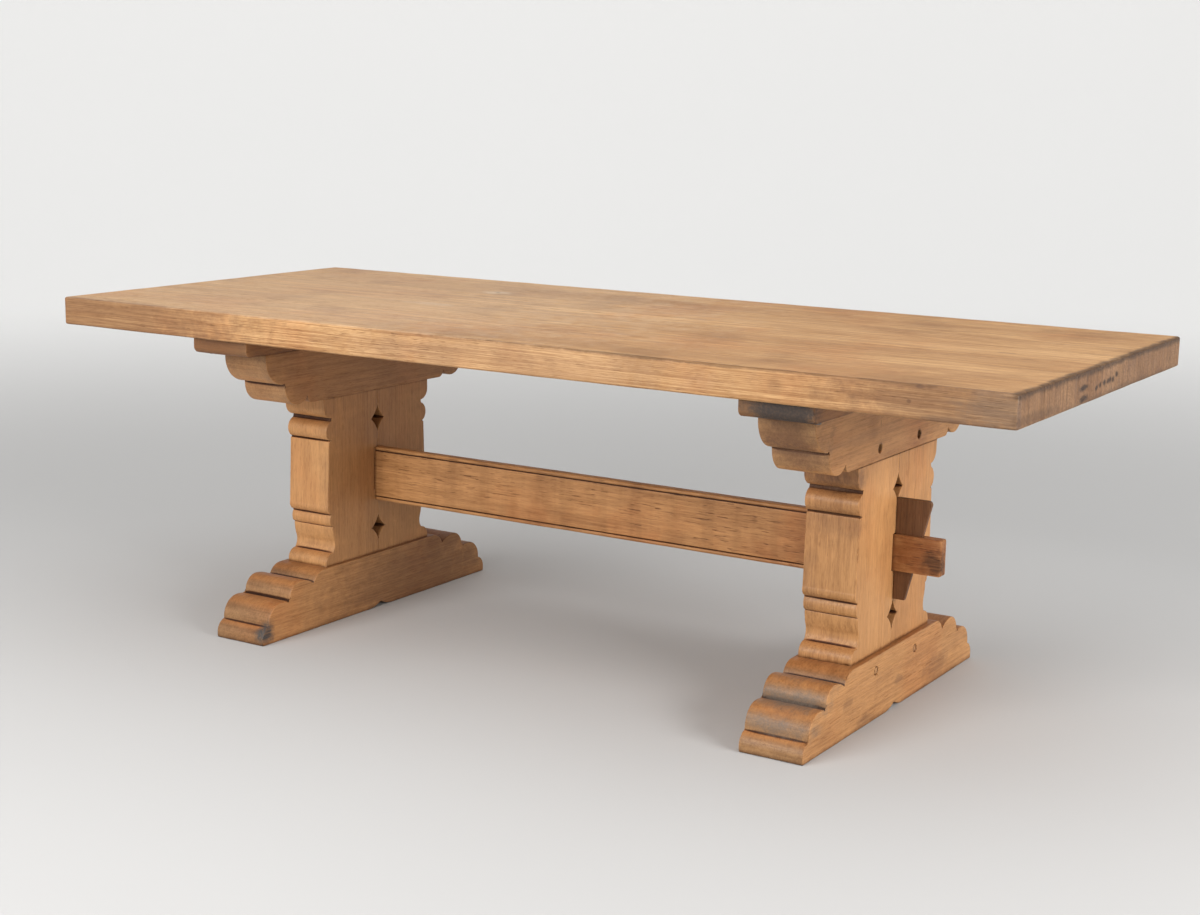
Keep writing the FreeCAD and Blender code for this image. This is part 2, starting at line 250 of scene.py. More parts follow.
def add_object(name, data):
    """A new object in the scene."""
    made = bpy.data.objects.new(name, data)
    bpy.context.scene.collection.objects.link(made)
    return made


# Materials

def new_material(name):
    material = bpy.data.materials.new(name)
    material.use_nodes = True
    return material, material.node_tree.nodes["Principled BSDF"]


def link(flow, socket):
    flow.tree.links.new(flow.socket, socket)


def oak(name, along, pale, brown, dull=None, dull_tint=(0.56, 0.6, 0.68, 1), dulled=0.6,
        drag=(6.0, 150.0, 150.0), dragged=0.5, lines=0.3, streaks=0.45, flecks=0.5, stain=0.5, upward_shade=0.0,
        rubbed=0.0, grimy=0.0, rough=0.5, carved="", seams=(), marks=()):
    """Solid oak with its grain along one axis, ringed round the piece's heart line, then stained by use.

    dull is the axis that the dulled faces look along, which is the grain's own unless it is given, and drag
    is how fine the saw's or chisel's marks on them are along X, Y and Z; upward_shade paints shade on what
    looks up; carved names the axis whose flat faces get no darkening in hollows, which is part dark patina
    and part painted shade; seams are (axis, place, width, strength) of joints that have gathered dirt; marks
    are (centre, half sizes, colour, strength), the later over the earlier, and some of them are painted
    shade, sheen and highlights.
    """
    finish = bpy.context.scene.oak_finish
    material, surface = new_material(name)
    start = Flow(material.node_tree)
    place = start.node("ShaderNodeTexCoord", output="Object")
    heart = start.node("ShaderNodeAttribute", {"attribute_name": "heart"}, output="Vector")
    wear = start.node("ShaderNodeAttribute", {"attribute_name": "wear"}, output="Vector")
    arris, hollow, lift = wear.axes()
    facing = dict(zip("XYZ", start.node("ShaderNodeNewGeometry", output="Normal").axes()))
    x, y, z = place.vector("SUBTRACT", heart).axes()
    run, across, depth = {"X": (x, y, z), "Y": (y, x, z), "Z": (z, y, x)}[along]

    def stretched(lengthwise, crosswise):
        return (run * lengthwise).joined(across * crosswise, depth * crosswise)

    def grain(lengthwise, crosswise, detail, roughness=0.5):
        """Noise that is finer across the grain than along it."""
        return stretched(lengthwise, crosswise).noise(1.0, detail, roughness)

    # Year rings round the heart
    sway = stretched(0.7, 2.5)
    u = across + (sway.noise(1.0, 1.0) - 0.5) * RING_BOW
    v = depth + (sway.vector("ADD", (5.2, 1.7, 8.1)).noise(1.0, 1.0) - 0.5) * RING_BOW
    radius = (u * u + v * v).math("SQRT") + (grain(4.0, 26.0, 2.0) - 0.5) * RING_RIPPLE
    uneven = start.node("ShaderNodeTexNoise", {"noise_dimensions": "1D"},
                        {"W": radius, "Scale": 75.0, "Detail": 1.0})
    growth = (radius / finish.ring_width + uneven * 1.6).math("FRACT")
    porous = growth.smooth(0.0, 0.12) * growth.smooth(0.6, 0.15)

    # Patterns along the grain, then patterns of use
    fibre = grain(7.0, 210.0, 3.0, 0.65)
    vein = grain(3.5, 250.0, 2.0).smooth(0.5, 0.64)
    mottle = grain(12.0, 80.0, 4.0, 0.7)
    streak = grain(1.2, 36.0, 3.0, 0.55)
    broad = grain(0.9, 6.0, 2.0)
    smear = grain(1.6, 15.0, 3.0, 0.6)
    patch = grain(1.3, 9.0, 2.0).smooth(0.4, 0.62)
    fleck = grain(24.0, 300.0, 2.0, 0.6).smooth(0.585, 0.66) * patch * (porous * 0.6 + 0.4)
    pore = grain(48.0, 560.0, 1.0).smooth(0.54, 0.66)
    cloud = place.noise(5.5, 5.0, 0.6)
    blush = place.vector("ADD", (3.1, 7.7, 1.9)).noise(4.0, 4.0, 0.6)
    grit = place.noise(60.0, 3.0, 0.6)
    tooled = place.vector("MULTIPLY", drag).noise(1.0, 3.0, 0.6)
    end = facing[dull or along].math("ABSOLUTE").smooth(0.5, 0.85)
    if carved:
        hollow = hollow * facing[carved].math("ABSOLUTE").smooth(0.95, 0.6)

    # Colour: the wood itself; dirt, stains, patina and painted shade over it; then marks, among them painted
    # shade and highlights; then pores and flecks
    tone = 0.55 + lift
    for pattern, contrast in ((fibre, 0.5), (streak, streaks), (broad, 0.6), (mottle, 0.3 + streaks * 0.6)):
        tone = tone + (pattern - 0.5) * contrast
    tone = tone - (vein * 0.6 + porous * 0.25) * lines
    shade = tone.smooth(0.08, 0.92).between(brown, pale)
    for mask, tint in (
            (blush.smooth(0.46, 0.68) * stain, TINTS["blush"]),
            (cloud.smooth(0.48, 0.7) * stain, TINTS["cloud"]),
            (smear.smooth(0.55, 0.75) * stain, TINTS["smear"]),
            (end * (0.55 + cloud * 0.9) * dulled, dull_tint),
            (end * tooled.smooth(0.42, 0.68) * dragged, TINTS["tool marks"]),
            # Painted shade: faces that look up are darkened as if the top shaded them
            (facing["Z"].smooth(0.2, 0.9) * (0.6 + grit * 0.6) * upward_shade, TINTS["painted upward shade"]),
            # Hollows and creases: dark patina, plus painted shade where the mouldings and notches lie in
            # shadow
            (hollow.smooth(0.0, 0.5) * (0.6 + grit * 0.7), TINTS["hollow"]),
            (hollow.smooth(0.55, 0.95) * 0.85, TINTS["deep hollow"])):
        shade = mask.between(shade, tint, "MULTIPLY")
    if rubbed:
        shade = (arris.smooth(0.3, 1.0) * grit.smooth(0.3, 0.6) * rubbed).between(shade, pale)
    if grimy:
        grime = arris.smooth(0.25, 0.9) * (cloud * 0.8 + grit * 0.7).smooth(0.55, 0.9)
        shade = (grime * grimy).between(shade, TINTS["grime"], "MULTIPLY")
    for axis, at, width, strength in seams:
        dirt = (place.axes()[axis] - at).math("ABSOLUTE") + (grit - 0.5) * width
        shade = dirt.smooth(width, 0.0, 0.0, strength).between(shade, TINTS["seam"], "MULTIPLY")
    ragged = place.noise(27.0, 6.0, 0.68, "Color")
    ragged = ragged.vector("SUBTRACT", (0.5, 0.5, 0.5)).vector("MULTIPLY", (1.6, 1.6, 1.6))
    soaked = fibre.smooth(0.3, 0.7, 1.15, 0.75)
    for centre, size, tint, strength in marks:
        near = place.vector("SUBTRACT", centre).vector("DIVIDE", size).vector("ADD", ragged)
        reach = near.vector("LENGTH", output="Value").smooth(1.05, 0.35, 0.0, strength)
        shade = (reach * soaked).between(shade, tint)
    shade = (pore * 0.4).between(shade, TINTS["pore"], "MULTIPLY")
    shade = (fleck * flecks).between(shade, TINTS["fleck"], "MULTIPLY")
    link(shade, surface.inputs["Base Color"])

    gloss = rough + (streak - 0.5) * 0.25 + fleck * 0.2 + hollow * 0.2 - end * 0.08
    link(gloss, surface.inputs["Roughness"])
    surface.inputs["Specular IOR Level"].default_value = 0.3
    relief = fibre * 0.5 + tooled * end - fleck * 0.7 - porous * 0.3 - pore * 0.3
    bump = relief.node("ShaderNodeBump", None, {"Strength": 0.4, "Distance": 0.0007, "Height": relief},
                       "Normal")
    link(bump, surface.inputs["Normal"])
    return material


def dull_steel():
    """Coach-screw steel with a bloom of rust."""
    finish = bpy.context.scene.oak_finish
    material, surface = new_material("dull steel")
    place = Flow(material.node_tree).node("ShaderNodeTexCoord", output="Object")
    rust = place.noise(420.0, 4.0, 0.65).smooth(0.5, 0.66)
    link(rust.between(finish.steel, finish.rust), surface.inputs["Base Color"])
    link(0.42 + rust * 0.4, surface.inputs["Roughness"])
    link(1.0 - rust, surface.inputs["Metallic"])
    return material


# Worn copies of the CAD nodes

def rounded_copy(node, width, joints=()):
    """A clean copy of a CAD node with its convex arrises rounded, less where they lie in a joint's plane."""
    share = bpy.context.scene.worn_edges.joint_share
    bm = bmesh.new()
    bm.from_mesh(frame["nodes"][node].data)
    bmesh.ops.remove_doubles(bm, verts=bm.verts, dist=MERGE)
    bmesh.ops.dissolve_limit(bm, angle_limit=FLAT_ANGLE, verts=bm.verts, edges=bm.edges)
    weight = bm.edges.layers.float.new("bevel_weight_edge")
    for edge in bm.edges:
        if edge.is_manifold and edge.calc_face_angle_signed() > ARRIS_ANGLE:
            tight = any(all(abs(v.co[axis] - at) < SNAP for v in edge.verts) for axis, at in joints)
            edge[weight] = share if tight else 1.0
    mesh = bpy.data.meshes.new(node + "_worn")
    bm.to_mesh(mesh)
    bm.free()
    piece = add_object(node + "_worn", mesh)
    bevel = piece.modifiers.new("arris", "BEVEL")
    bevel.width = width
    bevel.segments = 3
    bevel.limit_method = "WEIGHT"
    bevel.use_clamp_overlap = False
    bake(piece)
    return piece


def bake(piece):
    """Put the modifiers' result into the piece's mesh and take the modifiers off."""
    graph = bpy.context.evaluated_depsgraph_get()
    mesh = bpy.data.meshes.new_from_object(piece.evaluated_get(graph), preserve_all_data_layers=True,
                                           depsgraph=graph)
    piece.modifiers.clear()
    old = piece.data
    piece.data = mesh
    bpy.data.meshes.remove(old)
    mesh.name = piece.name


def slice_up(piece, cells):
    """Cut the piece's faces along evenly spaced planes, so that wear has points to move."""
    low, high = (Vector(f(c[i] for c in piece.bound_box) for i in range(3)) for f in (min, max))
    bm = bmesh.new()
    bm.from_mesh(piece.data)
    for axis, cell in enumerate(cells):
        count = max(1, round((high[axis] - low[axis]) / cell))
        normal = Vector((axis == X, axis == Y, axis == Z))
        for step in range(1, count):
            at = low[axis] + (high[axis] - low[axis]) * (step + CUT_SHIFT) / count
            bmesh.ops.bisect_plane(bm, geom=bm.verts[:] + bm.edges[:] + bm.faces[:], dist=SNAP,
                                   plane_co=normal * at, plane_no=normal)
    bm.to_mesh(piece.data)
    bm.free()


def node_tree(name, sockets):
    """A Geometry Nodes tree with named inputs, and those inputs as Flow values."""
    tree = bpy.data.node_groups.new(name, "GeometryNodeTree")
    tree.interface.new_socket("Geometry", in_out="OUTPUT", socket_type="NodeSocketGeometry")
    for socket, kind in sockets.items():
        tree.interface.new_socket(socket, in_out="INPUT", socket_type="NodeSocket" + kind)
    given = tree.nodes.new("NodeGroupInput")
    return tree, {s.name: Flow(tree, s) for s in given.outputs if s.name}


def close_tree(tree, shape, material):
    """End a tree in one real mesh with its material."""
    shape = shape.node("GeometryNodeRealizeInstances", None, {"Geometry": shape})
    shape = shape.node("GeometryNodeSetMaterial", None, {"Geometry": shape, "Material": material})
    tree.links.new(shape.socket, tree.nodes.new("NodeGroupOutput").inputs[0])


def wear_tree():
    """A tree that hollows and chips a piece inwards, and notes its heart, arrises and hollows for the oak."""
    numbers = ("Lift", "Joint Front", "Joint Back", "Wave Height", "Wave Size", "Chip Depth", "Chip Size",
               "Seed")
    tree, value = node_tree("hand wear", {"Geometry": "Geometry", "Heart": "Vector", "Free": "Vector",
                                          **dict.fromkeys(numbers, "Float"), "Material": "Material"})
    start = Flow(tree)
    shape = start.node("GeometryNodeSubdivideMesh", None, {"Mesh": value["Geometry"], "Level": 1})
    place = start.node("GeometryNodeInputPosition")
    normal = start.node("GeometryNodeInputNormal")
    bend = start.node("GeometryNodeInputMeshEdgeAngle", output="Signed Angle")
    spread = start.node("GeometryNodeBlurAttribute", {"data_type": "FLOAT"}, {"Value": bend, "Iterations": 7})
    arris = bend.smooth(0.04, 0.22)
    for joint in ("Joint Front", "Joint Back"):
        arris = arris * (place.axes()[Y] - value[joint]).math("ABSOLUTE").smooth(0.001, 0.006)
    hollow = (spread * -1.0).smooth(0.006, 0.11)

    def pattern(size, detail):
        return start.node("ShaderNodeTexNoise", {"noise_dimensions": "4D"},
                          {"Vector": place, "W": value["Seed"], "Scale": 1.0 / size, "Detail": detail})

    wave = pattern(value["Wave Size"], 1.0).smooth(0.25, 0.75)
    chip = pattern(value["Chip Size"], 2.0).smooth(0.54, 0.7)
    sink = wave * value["Wave Height"] + chip * arris * value["Chip Depth"]
    for name, field in (("heart", value["Heart"]), ("wear", arris.joined(hollow, value["Lift"]))):
        shape = start.node("GeometryNodeStoreNamedAttribute",
                           {"data_type": "FLOAT_VECTOR", "domain": "POINT"},
                           {"Geometry": shape, "Name": name, "Value": field})
    inwards = normal.vector("MULTIPLY", value["Free"])
    inwards = inwards.node("ShaderNodeVectorMath", {"operation": "SCALE"},
                           {0: inwards, "Scale": sink * -1.0})
    shape = start.node("GeometryNodeSetPosition", None, {"Geometry": shape, "Offset": inwards})
    close_tree(tree, shape, value["Material"])
    return tree


def set_inputs(modifier, values):
    """Set a Geometry Nodes modifier's inputs by the identifiers behind their names."""
    for item in modifier.node_group.interface.items_tree:
        if item.item_type == "SOCKET" and item.in_out == "INPUT" and item.name in values:
            modifier[item.identifier] = values[item.name]


def hand_over(piece, node):
    """Shade a finished piece, let it stand for its CAD node and move it with that node's body."""
    piece.data.shade_smooth()
    piece.data.set_sharp_from_angle(angle=SHARP_ANGLE)
    bodies = frame["record"]["behaviour"]["bodies"]
    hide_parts(node)
    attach(piece, next(body for body, nodes in bodies.items() if node in nodes))


def dress(node, material, heart, width, cells, joints=(), tight=(NO_JOINT, NO_JOINT), free=(1, 1, 1),
          chips=1.0, lift=0.0):
    """Replace a CAD node by a worn copy of itself.

    heart is where the log's heart lies, seen from the node's middle; width is the rounding of the arrises,
    and cells are the distances between cuts; joints are (axis, place) of planes where arrises stay crisp;
    tight is where its glued sides lie on Y; free holds the axes that wear; lift makes its wood paler.
    """
    wear = bpy.context.scene.worn_edges
    piece = rounded_copy(node, width, joints)
    slice_up(piece, cells)
    modifier = piece.modifiers.new("wear", "NODES")
    modifier.node_group = bpy.data.node_groups.get("hand wear") or wear_tree()
    set_inputs(modifier, {"Heart": tuple(middle(node) + Vector(heart)), "Lift": lift, "Free": free,
                          "Joint Front": tight[0], "Joint Back": tight[1],
                          "Wave Height": wear.wave_height, "Wave Size": wear.wave_size,
                          "Chip Depth": wear.chip_depth * chips, "Chip Size": wear.chip_size,
                          "Seed": float(wear.seed), "Material": material})
    bake(piece)
    hand_over(piece, node)


def middle(node):
    low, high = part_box(node)
    return (low + high) / 2


class TopPlanks(bpy.types.Operator):
    """Dress the top's planks, each sawn from its own log"""

    bl_idname = "trestle.top_planks"
    bl_label = "Top planks"

    def execute(self, context):
        finish = context.scene.oak_finish
        arris = context.scene.worn_edges.top_arris
        sides = [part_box(node)[1].y for node in PLANKS]
        wood = oak("top oak", "X", finish.top_pale, finish.top_brown, dull_tint=(0.49, 0.46, 0.49, 1),
                   dulled=1.0, drag=(150.0, 260.0, 5.0), dragged=0.8, lines=0.8, streaks=0.6, flecks=0.65,
                   grimy=0.95, rough=0.58, carved="Z", seams=[(Y, side, 0.0011, 0.6) for side in sides[:-1]],
                   marks=self.marks(finish))
        for number, node in enumerate(PLANKS):
            spread = number * GOLDEN % 1 - 0.5
            depth = 0.06 + number * 0.37 % 1 * 0.09
            heart = (number * 1.37, spread * 0.12, (-1) ** number * depth)
            tight = [sides[n] if 0 <= n < len(PLANKS) - 1 else NO_JOINT for n in (number - 1, number)]
            dress(node, wood, heart, arris, cells=(0.018, 0.018, 0.017), joints=[(Y, at) for at in tight],
                  tight=tight, free=(1, 0, 1), lift=spread * 0.16)
        return {"FINISHED"}

    def marks(self, finish):
        """What use has left on the top's right end, front edge and upper face, and painted sheen and
        highlights there.
        """
        low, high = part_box(PLANKS[0])
        end, front, face = high.x, low.y, high.z
        spots = ((-0.069, 0.04), (-0.047, 0.038), (-0.022, 0.037), (-0.001, 0.036), (0.012, 0.035),
                 (0.032, 0.036), (0.053, 0.029))
        return [
            # A row of dark spots, two cracks and a short streak in the right end
            *(((end, y, face - drop), (0.01, 0.0105, 0.0075), finish.crack_and_shadow, 1.0) for y, drop in spots),
            ((end, -0.145, face - 0.032), (0.012, 0.034, 0.008), finish.crack_and_shadow, 1.0),
            ((end, -0.144, face - 0.052), (0.012, 0.036, 0.0085), finish.crack_and_shadow, 1.0),
            ((end, -0.124, face - 0.014), (0.012, 0.006, 0.016), finish.crack_and_shadow, 0.6),
            # Slate stain and nail holes on the front edge
            ((end - 0.02, front, face - 0.03), (0.14, 0.02, 0.06), finish.slate, 0.12),
            ((1.013, front, face - 0.058), (0.05, 0.012, 0.009), finish.slate, 0.55),
            ((0.951, front, face - 0.031), (0.006, 0.01, 0.005), finish.crack_and_shadow, 0.8),
            ((0.97, front, face - 0.004), (0.012, 0.012, 0.005), finish.crack_and_shadow, 0.75),
            ((0.69, front, face - 0.03), (0.02, 0.01, 0.03), finish.stain, 0.25),
            # Bare and scarred places on the upper face, and a painted sheen over its left part
            ((-0.65, 0.0, face), (1.1, 1.2, 0.004), finish.worn, 0.2),
            ((-0.434, 0.242, face), (0.05, 0.034, 0.02), finish.worn, 0.38),
            ((-0.434, 0.242, face), (0.008, 0.008, 0.01), finish.crack_and_shadow, 0.7),
            ((-0.42, -0.05, face), (0.09, 0.035, 0.02), finish.worn, 0.18),
            ((0.95, 0.0, face), (0.03, 0.006, 0.01), finish.crack_and_shadow, 0.5),
            ((1.01, -0.06, face), (0.02, 0.005, 0.01), finish.crack_and_shadow, 0.5),
            # Old wax along the front edge towards its ends, a grey stain near its right corner, and a painted
            # highlight of the front light that makes its middle paler
            ((end - 0.1, front, face - 0.035), (0.34, 0.02, 0.07), finish.stain, 0.68),
            ((end - 0.02, front, face - 0.035), (0.12, 0.02, 0.06), finish.grey_stain_and_sheen, 0.36),
            ((-end + 0.1, front, face - 0.04), (0.6, 0.02, 0.16), finish.stain, 0.6),
            ((0.1, front, face - 0.035), (0.6, 0.02, 0.06), finish.worn, 0.07),
            # Dark arrises, and a painted highlight on the near corner's upright arris
            ((end, 0.0, face - 0.002), (0.018, 2.0, 0.0125), finish.crack_and_shadow, 0.8),
            ((end, -0.4, face - 0.05), (0.02, 0.16, 0.014), finish.crack_and_shadow, 0.4),
            ((end, 0.1, face - 0.06), (0.02, 0.5, 0.01), finish.crack_and_shadow, 0.35),
            ((0.5, front, face - 0.001), (0.72, 0.012, 0.0055), finish.crack_and_shadow, 0.5),
            ((end, front, face - 0.03), (0.004, 0.004, 0.045), finish.worn, 0.7),
        ]


class Trestles(bpy.types.Operator):
    """Dress the feet, caps and bearers, whose grain runs across the table, and the upright posts"""

    bl_idname = "trestle.trestles"
    bl_label = "Trestles"

    def execute(self, context):
        finish = context.scene.oak_finish
        arris = context.scene.worn_edges.base_arris
        cells = (0.014, 0.014, 0.014)
        foot_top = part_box("right_foot")[1].z
        cap_low, cap_top = (corner.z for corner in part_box("right_cap"))
        # The blue-grey dull tint greys the end grain, and on the feet's lobes it paints part of their sheen
        lying = oak("trestle oak", "Y", finish.base_pale, finish.base_brown, dull_tint=(0.57, 0.64, 0.77, 1),
                    dulled=0.75, dragged=0.4, lines=0.15, streaks=0.3, flecks=0.35, stain=0.55, upward_shade=0.8,
                    rubbed=0.25, carved="X", seams=((Z, 0.0, 0.012, 0.7), (Z, cap_top, 0.006, 0.6)),
                    marks=self.lying_marks(finish))
        standing = oak("post oak", "Z", finish.base_pale, finish.base_brown, dull="Y",
                       dull_tint=(0.86, 0.9, 0.94, 1), dulled=0.45, drag=(90.0, 90.0, 5.0), dragged=0.2,
                       lines=0.12, streaks=0.25, flecks=0.35, stain=0.4, upward_shade=0.5, rubbed=0.2, carved="X",
                       seams=((Z, foot_top, 0.007, 0.75), (Z, cap_low, 0.004, 0.5)),
                       marks=self.standing_marks(finish))
        for turn, side in enumerate(SIDES):
            # The bearers' lift of -0.42 darkens them as painted shade of the top above them
            for number, (part, lift) in enumerate((("foot", 0.0), ("cap", 0.14), ("bearer", -0.42))):
                heart = (0.03 - 0.08 * turn, 0.7 * number + 2.3 * turn, -0.09 + 0.05 * number)
                dress(f"{side}_{part}", lying, heart, arris, cells, lift=lift + 0.04 - 0.04 * turn)
            for number, part in enumerate(("front_post_board", "back_post_board")):
                heart = (0.1 - 0.17 * turn, 0.02 - 0.06 * number, 1.3 * number + 3.1 * turn)
                dress(f"{side}_{part}", standing, heart, arris, cells, lift=0.2 - 0.17 * turn,
                      joints=((Y, 0.0), (Z, foot_top), (Z, cap_low)))
        return {"FINISHED"}

    def lying_marks(self, finish):
        """What use has left on the feet, caps and bearers, and painted shade, shadow and sheen on them."""
        cap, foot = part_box("right_cap"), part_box("right_foot")
        outer, foot_face = cap[1].x, foot[1].x
        left_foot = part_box("left_foot")
        inner = left_foot[1].x
        bearer_end = ((0.7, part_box("right_bearer")[0].y, cap[1].z + 0.014), (0.1, 0.08, 0.05))
        pegs_low, pegs_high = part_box("right_cap_pegs")
        peg = (pegs_high.z - pegs_low.z) / 2
        lobes = ((0.045, 0.055, 0.055, 0.7), (0.1, 0.09, 0.05, 0.8), (0.067, 0.088, 0.035, 0.35),
                 (0.142, 0.113, 0.04, 0.45))
        return [
            # The right bearer's end: a slate stain, made darker by painted shade under the top's overhang
            (*bearer_end, finish.slate, 0.95),
            (*bearer_end, finish.crack_and_shadow, 0.55),
            # Scratches on the right cap and stains on the right foot, on their outer faces
            ((outer, -0.1, 0.614), (0.01, 0.0028, 0.011), finish.crack_and_shadow, 0.5),
            ((outer, -0.083, 0.634), (0.01, 0.005, 0.005), finish.crack_and_shadow, 0.35),
            ((outer, 0.104, 0.595), (0.01, 0.0028, 0.008), finish.crack_and_shadow, 0.5),
            ((foot_face, 0.02, 0.057), (0.02, 0.025, 0.012), finish.stain, 0.5),
            ((foot_face, 0.22, 0.035), (0.02, 0.09, 0.035), finish.stain, 0.45),
            ((foot_face, -0.229, 0.069), (0.02, 0.03, 0.02), finish.stain, 0.4),
            ((foot_face, -0.15, 0.016), (0.02, 0.05, 0.014), finish.stain, 0.5),
            # Painted shade on the left cap's inner face, and on the left foot's inner face, where it is
            # partly brown patina; and the painted shadow of the top's overhang on the right cap's front
            # scroll
            ((inner, 0.16, 0.05), (0.04, 0.36, 0.12), finish.stain, 0.45),
            ((inner, 0.12, 0.05), (0.03, 0.5, 0.4), finish.stain, 0.35),
            ((-outer + 0.12, 0.0, 0.6), (0.04, 0.7, 0.3), finish.stain, 0.42),
            ((0.672, -0.37, 0.6), (0.08, 0.1, 0.1), finish.stain, 0.85),
            # Slate stain on the left toe
            ((inner, left_foot[0].y + 0.012, 0.03), (0.028, 0.03, 0.036), finish.slate, 0.9),
            # Painted shadow round the caps' pegs in their holes, and the right foot's lobes, greyed partly by
            # bloom and partly by painted sheen
            *(((sign * outer, y, pegs_low.z + peg), (0.012, 0.0135, 0.0135), finish.crack_and_shadow, 0.8)
              for sign in (1, -1) for y in (pegs_low.y + peg, pegs_high.y - peg)),
            *(((0.678, foot[0].y + inward, height), (0.1, deep, 0.026), finish.grey_stain_and_sheen, strength)
              for inward, height, deep, strength in lobes),
        ]

    def standing_marks(self, finish):
        """Old wax under the right cap and on the right post's front, and painted shade on the left post's
        inner face.
        """
        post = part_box("right_front_post_board")[0]
        cap_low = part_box("right_cap")[0].z
        return [
            ((0.675, post.y + 0.02, cap_low - 0.025), (0.09, 0.05, 0.045), finish.stain, 0.8),
            ((0.675, post.y + 0.02, cap_low - 0.11), (0.09, 0.05, 0.06), finish.stain, 0.42),
            ((0.63, post.y + 0.02, 0.29), (0.02, 0.04, 0.1), finish.stain, 0.3),
            # Painted shade on the left post's inner face
            ((-post.x, 0.0, 0.33), (0.04, 0.4, 0.5), finish.stain, 0.35),
        ]


class Stretcher(bpy.types.Operator):
    """Dress the stretcher that ties the posts"""

    bl_idname = "trestle.stretcher"
    bl_label = "Stretcher"

    def execute(self, context):
        finish = context.scene.oak_finish
        low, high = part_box("stretcher")
        level = middle("stretcher").z
        post_faces = [corner.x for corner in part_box("right_front_post_board")]
        marks = []
        for sign in (1, -1):
            tip = (sign * (high.x - 0.012), low.y, level - 0.012)
            marks += [((sign * (high.x - 0.03), 0.0, level), (0.11, 0.06, 0.08), finish.tenon, 0.92),
                      (tip, (0.035, 0.03, 0.032), finish.crack_and_shadow, 0.75)]
        wood = oak("stretcher oak", "X", finish.base_pale, finish.base_brown, dull="Y",
                   dull_tint=(0.86, 0.84, 0.84, 1), dulled=0.3, drag=(22.0, 150.0, 3.0), dragged=0.3,
                   lines=0.15, streaks=0.35, flecks=1.0, stain=0.7, rubbed=0.2,
                   seams=[(X, sign * at, 0.008, 0.75) for sign in (1, -1) for at in post_faces], marks=marks)
        dress("stretcher", wood, heart=(4.1, 0.07, -0.05), width=0.0011, cells=(0.016, 0.0064, 0.012),
              chips=0.4)
        return {"FINISHED"}


class Keys(bpy.types.Operator):
    """Dress the wedges and the caps' pegs, which have gone dark, and the feet's pegs"""

    bl_idname = "trestle.keys"
    bl_label = "Wedges and pegs"

    def execute(self, context):
        finish = context.scene.oak_finish
        upright = oak("wedge oak", "Z", finish.key_pale, finish.key_brown, stain=0.3, rubbed=0.5)
        dark = oak("cap peg oak", "X", finish.key_pale, finish.key_brown)
        plain = oak("foot peg oak", "X", finish.base_pale, finish.base_brown, dulled=0.4, grimy=0.8)
        for turn, side in enumerate(SIDES):
            dress(f"{side}_wedge", upright, heart=(0.05, 0.11, 0.9 * turn), width=0.0014,
                  cells=(0.01, 0.005, 0.01), chips=0.5)
            for part, wood in (("cap_pegs", dark), ("foot_pegs", plain)):
                dress(f"{side}_{part}", wood, heart=(0.4 * turn, 0.012, 0.03), width=0.001,
                      cells=(0.01, 0.005, 0.005), chips=0.5)
        return {"FINISHED"}


